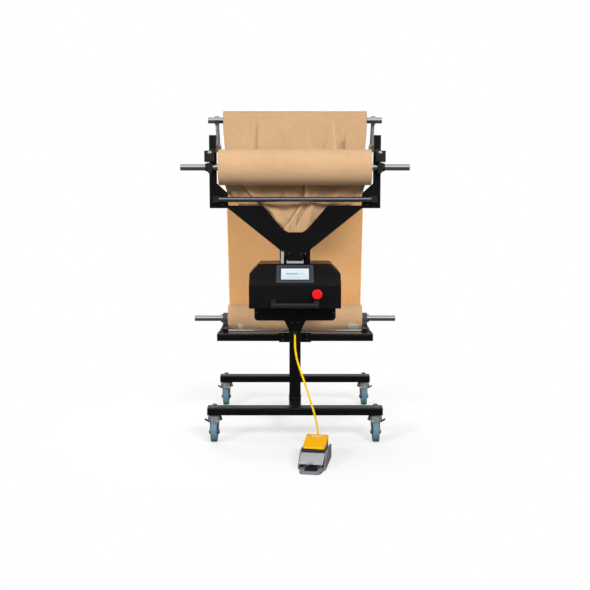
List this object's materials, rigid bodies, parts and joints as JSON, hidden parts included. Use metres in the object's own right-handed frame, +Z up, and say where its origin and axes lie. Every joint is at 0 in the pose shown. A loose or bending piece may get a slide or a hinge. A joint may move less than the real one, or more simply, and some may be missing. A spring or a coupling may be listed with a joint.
{
  "type": "paper void fill machine",
  "caption": "Floor standing paper void fill machine on a castor stand: an upper and a lower kraft roll feed a crimping head with touch panel, emergency stop and foot switch.",
  "frame": {"origin": "On the floor at the centre of the wheelbase, below the base spine.", "axes": "+X to the right of a person in front of the machine, -Y towards that person, +Z up."},
  "size_m": [0.905, 1.1228, 1.3304],
  "materials": {
    "black_powder_coat": "satin powder coat",
    "zinc_steel": "zinc plated",
    "bright_bar": "polished",
    "roller_aluminium": "satin",
    "kraft_paper": "matte",
    "castor_tread": "satin",
    "dark_plastic": "fine texture",
    "dark_casting": "painted casting",
    "dark_bolts": "black oxide",
    "screen_glass": "gloss",
    "red_button": "gloss",
    "yellow_cable": "satin",
    "orange_cover": "gloss paint",
    "grey_casting": "satin paint"
  },
  "bodies": {
    "stand": {"base_front_beam": "black_powder_coat", "base_rear_beam": "black_powder_coat", "base_spine": "black_powder_coat", "end_caps": "dark_plastic", "castor_bolts": "zinc_steel", "column": "black_powder_coat", "mount_plate": "black_powder_coat", "lower_carrier": "black_powder_coat", "lower_tie_rod": "zinc_steel", "lower_bearings": "dark_casting", "side_frames": "black_powder_coat", "upper_bearings": "dark_casting", "y_plate": "black_powder_coat", "front_guide_bar": "bright_bar", "top_arms": "bright_bar", "paper_web": "kraft_paper", "paper_gather": "kraft_paper", "paper_funnel": "kraft_paper", "throat_chute": "zinc_steel", "throat_bracket": "black_powder_coat", "head_housing": "black_powder_coat", "bearing_plates": "zinc_steel", "shaft_bearings": "zinc_steel", "drive_motor": "dark_casting", "control_box": "dark_plastic", "power_inlet": "dark_plastic", "tear_blade": "zinc_steel", "frame_bolts": "dark_bolts", "cable_gland": "dark_plastic", "foot_cable": "yellow_cable", "foot_base": "grey_casting", "foot_housing": "orange_cover"},
    "castor_front_left": {"fork_front_left": "zinc_steel"},
    "rolling_front_left": {"wheel_front_left": "castor_tread"},
    "braking_front_left": {"brake_front_left": "dark_plastic"},
    "castor_front_right": {"fork_front_right": "zinc_steel"},
    "rolling_front_right": {"wheel_front_right": "castor_tread"},
    "braking_front_right": {"brake_front_right": "dark_plastic"},
    "castor_rear_left": {"fork_rear_left": "zinc_steel"},
    "rolling_rear_left": {"wheel_rear_left": "castor_tread"},
    "braking_rear_left": {"brake_rear_left": "dark_plastic"},
    "castor_rear_right": {"fork_rear_right": "zinc_steel"},
    "rolling_rear_right": {"wheel_rear_right": "castor_tread"},
    "braking_rear_right": {"brake_rear_right": "dark_plastic"},
    "lower_reel": {"lower_spindle": "bright_bar", "lower_roll": "kraft_paper"},
    "upper_reel": {"upper_spindle": "bright_bar", "upper_roll": "kraft_paper"},
    "web_roller": {"top_roller": "roller_aluminium"},
    "keeper_left": {"latch_left": "dark_casting"},
    "keeper_right": {"latch_right": "dark_casting"},
    "cover": {"front_cover": "black_powder_coat", "cover_handle": "dark_plastic", "screen_bezel": "dark_plastic", "screen_panel": "screen_glass", "estop_collar": "dark_plastic"},
    "stop_button": {"estop_button": "red_button"},
    "drive_shaft": {"drive_rollers": "zinc_steel"},
    "idler_shaft": {"idler_rollers": "zinc_steel"},
    "pedal": {"foot_pedal": "grey_casting"}
  },
  "joints": [
    {"name": "swivel_front_left", "type": "hinge", "parent": "stand", "child": "castor_front_left", "pos_m": [-0.322, -0.315, 0.095], "axis": [0, 0, 1], "continuous": true},
    {"name": "roll_front_left", "type": "hinge", "parent": "castor_front_left", "child": "rolling_front_left", "pos_m": [-0.322, -0.343, 0.04], "axis": [1, 0, 0], "continuous": true},
    {"name": "brake_press_front_left", "type": "hinge", "parent": "castor_front_left", "child": "braking_front_left", "pos_m": [-0.3445, -0.315, 0.08], "axis": [0, -1, 0], "range_deg": [0, 20]},
    {"name": "swivel_front_right", "type": "hinge", "parent": "stand", "child": "castor_front_right", "pos_m": [0.322, -0.315, 0.095], "axis": [0, 0, 1], "continuous": true},
    {"name": "roll_front_right", "type": "hinge", "parent": "castor_front_right", "child": "rolling_front_right", "pos_m": [0.322, -0.343, 0.04], "axis": [1, 0, 0], "continuous": true},
    {"name": "brake_press_front_right", "type": "hinge", "parent": "castor_front_right", "child": "braking_front_right", "pos_m": [0.3445, -0.315, 0.08], "axis": [0, 1, 0], "range_deg": [0, 20]},
    {"name": "swivel_rear_left", "type": "hinge", "parent": "stand", "child": "castor_rear_left", "pos_m": [-0.322, 0.315, 0.095], "axis": [0, 0, 1], "continuous": true},
    {"name": "roll_rear_left", "type": "hinge", "parent": "castor_rear_left", "child": "rolling_rear_left", "pos_m": [-0.322, 0.287, 0.04], "axis": [1, 0, 0], "continuous": true},
    {"name": "brake_press_rear_left", "type": "hinge", "parent": "castor_rear_left", "child": "braking_rear_left", "pos_m": [-0.3445, 0.315, 0.08], "axis": [0, -1, 0], "range_deg": [0, 20]},
    {"name": "swivel_rear_right", "type": "hinge", "parent": "stand", "child": "castor_rear_right", "pos_m": [0.322, 0.315, 0.095], "axis": [0, 0, 1], "continuous": true},
    {"name": "roll_rear_right", "type": "hinge", "parent": "castor_rear_right", "child": "rolling_rear_right", "pos_m": [0.322, 0.287, 0.04], "axis": [1, 0, 0], "continuous": true},
    {"name": "brake_press_rear_right", "type": "hinge", "parent": "castor_rear_right", "child": "braking_rear_right", "pos_m": [0.3445, 0.315, 0.08], "axis": [0, 1, 0], "range_deg": [0, 20]},
    {"name": "lower_roll_spin", "type": "hinge", "parent": "stand", "child": "lower_reel", "pos_m": [0, 0.184, 0.423], "axis": [1, 0, 0], "continuous": true},
    {"name": "upper_roll_spin", "type": "hinge", "parent": "stand", "child": "upper_reel", "pos_m": [0, -0.263, 1.087], "axis": [1, 0, 0], "continuous": true},
    {"name": "top_roller_spin", "type": "hinge", "parent": "stand", "child": "web_roller", "pos_m": [0, 0.015, 1.291], "axis": [1, 0, 0], "continuous": true},
    {"name": "latch_left_open", "type": "hinge", "parent": "stand", "child": "keeper_left", "pos_m": [-0.3265, -0.255, 1.149], "axis": [-1, 0, 0], "range_deg": [0, 90]},
    {"name": "latch_right_open", "type": "hinge", "parent": "stand", "child": "keeper_right", "pos_m": [0.3265, -0.255, 1.149], "axis": [-1, 0, 0], "range_deg": [0, 90]},
    {"name": "cover_open", "type": "hinge", "parent": "stand", "child": "cover", "pos_m": [0, -0.245, 0.7022], "axis": [-1, 0, 0], "range_deg": [0, 80]},
    {"name": "estop_press", "type": "slide", "parent": "cover", "child": "stop_button", "axis": [0, 1, 0], "range_m": [0, 0.004]},
    {"name": "drive_spin", "type": "hinge", "parent": "stand", "child": "drive_shaft", "pos_m": [0, -0.182, 0.64], "axis": [1, 0, 0], "continuous": true},
    {"name": "idler_spin", "type": "hinge", "parent": "stand", "child": "idler_shaft", "pos_m": [0, -0.236, 0.64], "axis": [1, 0, 0], "continuous": true},
    {"name": "pedal_press", "type": "hinge", "parent": "stand", "child": "pedal", "pos_m": [0.07047, -0.65458, 0.05], "axis": [0.9869, -0.1616, 0], "range_deg": [0, 7], "stiffness_Nm_per_rad": 4, "springref_deg": -6.88}
  ],
  "couplings": [
    {"joint": "idler_spin", "follows": "drive_spin", "ratio": -1}
  ]
}
